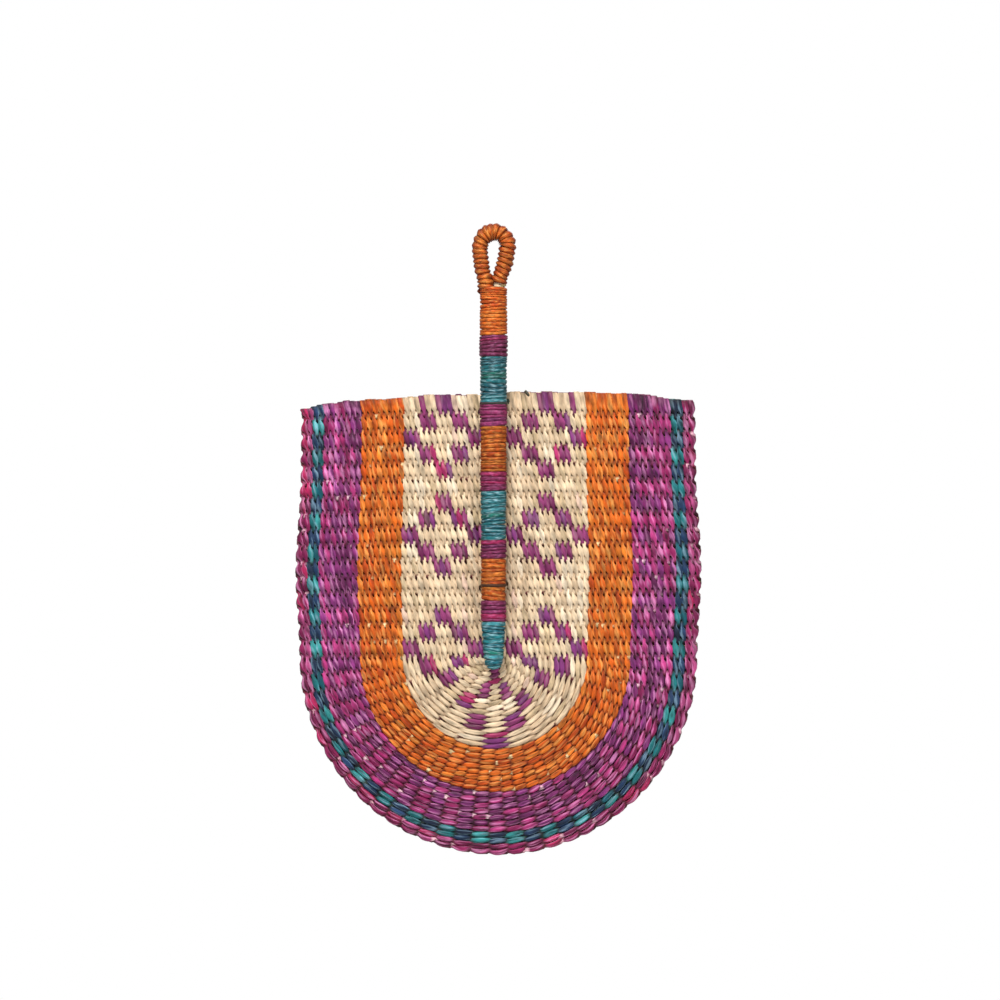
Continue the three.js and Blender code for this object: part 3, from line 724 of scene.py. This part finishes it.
cream_dyes = [
    [linear(230, 204, 169), 6],
    [linear(222, 193, 157), 4],
    [linear(238, 217, 187), 2],
    [linear(212, 185, 146), 2],
    [linear(226, 193, 170), 1],
]
lozenge_dyes = [
    [linear(150, 60, 114), 5],
    [linear(130, 54, 118), 3],
    [linear(186, 48, 108), 1],
    [linear(118, 38, 86), 2],
]
# The lozenges are counted in groups of three courses. In each row, and in each sector away from the bottom of
# the round, these groups are dyed.
groups = [range(2, 5), range(5, 8), range(8, 11), range(11, 14), range(14, 17)]
lozenge_rows = {0: [2], 1: [1, 3], 2: [0, 4], 3: [1, 3], 4: [2]}
lozenge_rows.update({6: [2], 7: [1, 3], 8: [0, 4], 9: [1, 3], 10: [2]})
lozenge_rows.update({13: [2], 14: [1, 3], 15: [0, 4]})
lozenge_sectors = {5: [1, 3], 4: [2], 2: [2], 1: [1, 3], 0: [0, 4]}


def in_lozenge(course, stitch, sectors):
    """Whether a stitch of the natural weft is one of the purple ones."""
    group = [number for number, members in enumerate(groups) if course in members]
    if not group:
        return False
    last_stitch = 2 * ROWS + sectors - 1
    if (course, stitch) in ((13, 0), (14, last_stitch)):
        return True
    if stitch < ROWS:
        return group[0] in lozenge_rows.get(stitch, [])
    if stitch >= ROWS + sectors:
        return group[0] in lozenge_rows.get(last_stitch - stitch, [])
    from_bottom = abs(stitch - ROWS - (sectors - 1) / 2)
    if sectors < RADIALS:
        return from_bottom == 0 and group[0] == 0
    return group[0] in lozenge_sectors.get(round(from_bottom), [])


natural_grass = grass_finish("natural_grass_strand", linear(250, 238, 214), 0.1, contrast=1.9)
maroon = linear(126, 34, 52)
CREAM_COURSES = 17
strands = []
for course, (reach, width) in enumerate(courses(0, CREAM_REACH, CREAM_COURSES)):
    sectors = sector_count(course)
    total = 2 * ROWS + sectors
    for number in (0, 1):
        plain = strand_dyes(cream_dyes, total, most=6, tone=0.97)
        dyed = strand_dyes(lozenge_dyes, total, tone=0.88)
        dyes = [dyed[i] if in_lozenge(course, i, sectors) else plain[i] for i in range(total)]
        dyes.append(maroon)
        given = (reach, width, sectors, number, dyes)
        strands.append(weave_strand(*given, fullness=0.6, twist=0.34, specks=0.1))
# A cut end of dark grass stands at the top edge, beside the handle
stub_points = [(20.1, 8.2, -94.7), (21.3, 7.4, -96.2), (22.4, 7.6, -98.0)]
stub = smooth_line([np.array(point) for point in stub_points], steps=4)
stub_half = np.full(len(stub), 0.9)
stub_rings = strand_rings(stub, np.tile([1.0, 0.0, 0.5], (len(stub), 1)), stub_half, stub_half * 0.8)
dark_grass = linear(48, 46, 32)
strands.append((stub_rings, dye_along([dark_grass], stub_half)))
cream_weft = strand_piece("natural_weft", strands, natural_grass)
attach(cream_weft, "root")
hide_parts("cream_weft_front", "cream_weft_back")


# Orange weft: eight courses in the same twined stitch, held by the same spokes. Past the first four the
# spokes divide once more in the round. Undyed grass glints at a few of the stitches' tips.
orange_grass = grass_finish("orange_weft_grass", linear(244, 182, 100), 0.4, fibres=0.9, contrast=2.6)
orange_glint = linear(250, 226, 170)
ORANGE_COURSES = 8
strands = []
for course, (reach, width) in enumerate(courses(CREAM_REACH, ORANGE_REACH, ORANGE_COURSES)):
    sectors = sector_count(CREAM_COURSES + course)
    for number in (0, 1):
        dyes = strand_dyes(orange_dyes, 2 * ROWS + sectors, most=8, tone=0.96)
        dyes.append(orange_glint)
        strands.append(weave_strand(reach, width, sectors, number, dyes, specks=0.1))
orange_weft = strand_piece("orange_weft", strands, orange_grass, groove_shade=0.0)
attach(orange_weft, "root")
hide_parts("orange_weft_front", "orange_weft_back")


# Purple weft: seven courses round the orange ones. Each pair is one strand that is more violet and one that
# is more pink, and both get pinker towards the rim. Paler grass glints at a few of the stitches' tips.
violet_dyes = [
    [linear(114, 36, 94), 4],
    [linear(126, 45, 110), 3],
    [linear(98, 26, 78), 3],
]
pink_dyes = [
    [linear(153, 42, 102), 4],
    [linear(171, 54, 116), 3],
    [linear(139, 29, 86), 3],
]
purple_grass = grass_finish("purple_weft_grass", linear(216, 140, 190), 0.6, fibres=0.9, contrast=3.2)
purple_glint = linear(244, 206, 214)
PURPLE_COURSES = 7
strands = []
for course, (reach, width) in enumerate(courses(ORANGE_REACH, PURPLE_REACH, PURPLE_COURSES)):
    sectors = sector_count(CREAM_COURSES + ORANGE_COURSES + course)
    for number in (0, 1):
        pink = 0.1 + 0.3 * course / (PURPLE_COURSES - 1) + 0.4 * number
        palette = [[colour, often * pink] for colour, often in pink_dyes]
        palette += [[colour, often * (1 - pink)] for colour, often in violet_dyes]
        dyes = strand_dyes(palette, 2 * ROWS + sectors, most=8)
        dyes.append(purple_glint)
        strands.append(weave_strand(reach, width, sectors, number, dyes, specks=0.1))
purple_weft = strand_piece("purple_weft", strands, purple_grass, groove_shade=0.3)
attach(purple_weft, "root")
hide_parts("purple_weft_front", "purple_weft_back")


# Teal weft: two courses round the purple ones. Each pair is one teal strand and one navy strand, so that the
# two colours come forward in turn.
navy_dyes = [
    [linear(18, 42, 72), 4],
    [linear(32, 56, 90), 2],
    [linear(14, 28, 50), 2],
]
weft_teal_dyes = [
    [linear(22, 100, 104), 4],
    [linear(46, 132, 132), 3],
    [linear(14, 78, 90), 2],
]
navy_grass = grass_finish("navy_grass_strand", linear(150, 186, 206), 0.4, fibres=0.9, contrast=3.0)
outer_sectors = sector_count(CREAM_COURSES + ORANGE_COURSES + PURPLE_COURSES)
strands = []
for reach, width in courses(PURPLE_REACH, TEAL_REACH, 2):
    for number in (0, 1):
        dyes = strand_dyes(weft_teal_dyes if number else navy_dyes, 2 * ROWS + outer_sectors)
        strands.append(weave_strand(reach, width, outer_sectors, number, dyes))
teal_weft = strand_piece("teal_weft", strands, navy_grass)
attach(teal_weft, "root")
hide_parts("teal_weft_front", "teal_weft_back")


# Rim weft: two courses of magenta grass that close the edge. The outer one bulges past the cut ends of the
# spokes, and a paler strand shows at some of the notches between its stitches.
magenta_dyes = [
    [linear(130, 26, 78), 4],
    [linear(106, 18, 64), 4],
    [linear(160, 32, 80), 1],
    [linear(156, 62, 110), 2],
]
magenta_grass = grass_finish("magenta_grass_strand", linear(226, 150, 196), 0.5, fibres=0.9, contrast=3.0)
rim_glint = linear(236, 184, 198)
RIM_SWELL = 1.05  # the rim's strands are a little wider than their courses
rim_lobes = [0.3, 1.2]  # how far the inner and the outer course bulge
strands = []
for lobe, (reach, width) in zip(rim_lobes, courses(TEAL_REACH, RIM_REACH, 2)):
    for number in (0, 1):
        dyes = strand_dyes(magenta_dyes, 2 * ROWS + outer_sectors)
        dyes.append(rim_glint)
        given = (reach, width * RIM_SWELL, outer_sectors, number, dyes)
        strands.append(weave_strand(*given, lobe=lobe, specks=0.2))
rim_weft = strand_piece("rim_weft", strands, magenta_grass)
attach(rim_weft, "root")
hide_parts("rim_weft_front", "rim_weft_back")


# Ties: two thin strands that lash the handle to the blade. Each lies in a groove between two turns of the
# handle's wrapping and goes through the weave close beside the handle. Its two ends lie side by side behind
# the blade, and only nubs of it show in front.
BLADE_REAR = 12.4
tie_grass = grass_finish("tie_grass", linear(120, 104, 84), 0.1)
tie_dyes = {
    "upper_tie": [linear(66, 14, 32), linear(14, 56, 42)],
    "lower_tie": [linear(64, 36, 16), linear(64, 36, 16)],
}
over_front = np.radians([-172, -150, -120, -90, -60, -30, -8])
# Node, dye, wrappings above it, rows of weft above it, and the heights where it enters the weave
ties = [
    ["upper_tie", "teal", 3, 1, -100.8, -108.0],
    ["lower_tie", "orange", 9, 12, -216.6, -219.0],
]
for name, colour, wrappings, rows, right_z, left_z in ties:
    down = sum(band[2] for band in bands[:wrappings])
    behind_z = BLADE_TOP - rows * ROW_PITCH
    over_handle = round_handle(np.full(len(over_front), down), over_front, sunk=0.25)
    tie_points = [np.array(point) for point in over_handle]
    for side, start_z, entry_z in ((1, over_handle[-1][2], right_z), (-1, over_handle[0][2], left_z)):
        x = side * (handle_half(down) + 0.9)
        end_points = [
            (x - side * 1.7, 4.6, (start_z + entry_z) / 2),
            (x, 6.4, entry_z),
            (x - side * 0.4, 11.2, behind_z),
            (side * 6.5, BLADE_REAR, behind_z),
            (-side * 1.8, BLADE_REAR, behind_z + side),
        ]
        end_points = [np.array(point) for point in end_points]
        tie_points = tie_points + end_points if side > 0 else end_points[::-1] + tie_points
    line = smooth_line(tie_points, steps=6)
    along = np.gradient(line, axis=0)
    flat_way = np.cross(along, np.tile([0.02, 0.0, 1.0], (len(line), 1)))
    flat_way = np.cross(flat_way, along)
    half_width, half_depth = np.full(len(line), 1.0), np.full(len(line), 0.7)
    rings = strand_rings(line, flat_way, half_width, half_depth)
    shades = dye_along(tie_dyes[name], np.linspace(0, 1, len(line)))
    tie = strand_piece(f"{name}_strand", [(rings, shades)], tie_grass)
    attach(tie, "root")
    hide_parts(name)


# Floor: plain and pale, under the hanging fan. To the camera it and the world are the photograph's white
# ground.
def white_share(start, most):
    """How far a ray that only sees a surface takes it as white."""
    seen = start.node("ShaderNodeLightPath", output="Is Camera Ray")
    mirrored = start.node("ShaderNodeLightPath", output="Is Glossy Ray")
    through = start.node("ShaderNodeLightPath", output="Is Transmission Ray")
    return (seen + mirrored + through) * most


FLOOR_Z = -0.6
bpy.ops.mesh.primitive_circle_add(vertices=64, radius=0.6, fill_type="NGON", location=(0, 0, FLOOR_Z))
floor = bpy.context.object
floor.name = "floor"
material, start = new_finish("pale_floor")
pale = start.node("ShaderNodeBsdfDiffuse", None, {"Color": (0.9, 0.9, 0.9, 1)})
white = start.node("ShaderNodeEmission", None, {"Color": (1, 1, 1, 1), "Strength": 1.0})
mixed = start.node("ShaderNodeMixShader", None, {0: white_share(start, 0.6), 1: pale, 2: white})
start.node("ShaderNodeOutputMaterial", None, {"Surface": mixed}, output=None)
floor.data.materials.append(material)


# Studio: a broad soft lamp high in front, a weaker one from the right, one behind that lights the back, and a
# white world that only the camera sees at full strength.
def add_lamp(name, place, aim, size, power):
    bpy.ops.object.light_add(type="AREA", location=place)
    lamp = bpy.context.object
    lamp.name = name
    lamp.data.shape = "DISK"
    lamp.data.size = size
    lamp.data.energy = power
    lamp.rotation_euler = (Vector(aim) - Vector(place)).to_track_quat("-Z", "Y").to_euler()


MIDDLE = (0.0, 0.0, -0.18)
add_lamp("key_lamp", (-0.3, -0.9, 1.1), MIDDLE, size=0.6, power=27)
add_lamp("fill_lamp", (0.9, -1.2, 0.1), MIDDLE, size=0.9, power=7)
add_lamp("back_lamp", (0.3, 1.2, 0.6), MIDDLE, size=0.8, power=14)
world = bpy.data.worlds.new("studio")
world.use_nodes = True
world.node_tree.nodes.clear()
scene.world = world
start = Value(world.node_tree)
AMBIENT = 0.27  # strength of the world's own light on the fan
strength = AMBIENT + (1 - AMBIENT) * white_share(start, 1.0)
sky = start.node("ShaderNodeBackground", None, {"Color": (1, 1, 1, 1), "Strength": strength})
start.node("ShaderNodeOutputWorld", None, {"Surface": sky}, output=None)
scene.view_settings.view_transform = "Standard"


# Camera: square in front of the fan with a long lens, as in the photograph. The picture is 0.634 m wide at
# the front of the blade.
VIEW_WIDTH = 0.634
BLADE_FRONT = 0.0075
DISTANCE = 2.4
VIEW_MIDDLE_X = 0.0041
VIEW_MIDDLE_Z = -0.1639
SENSOR_WIDTH = 36
camera_place = (VIEW_MIDDLE_X, -DISTANCE, VIEW_MIDDLE_Z)
bpy.ops.object.camera_add(location=camera_place, rotation=(math.pi / 2, 0, 0))
camera = bpy.context.object
camera.data.sensor_width = SENSOR_WIDTH
camera.data.lens = SENSOR_WIDTH * (DISTANCE + BLADE_FRONT) / VIEW_WIDTH
scene.camera = camera
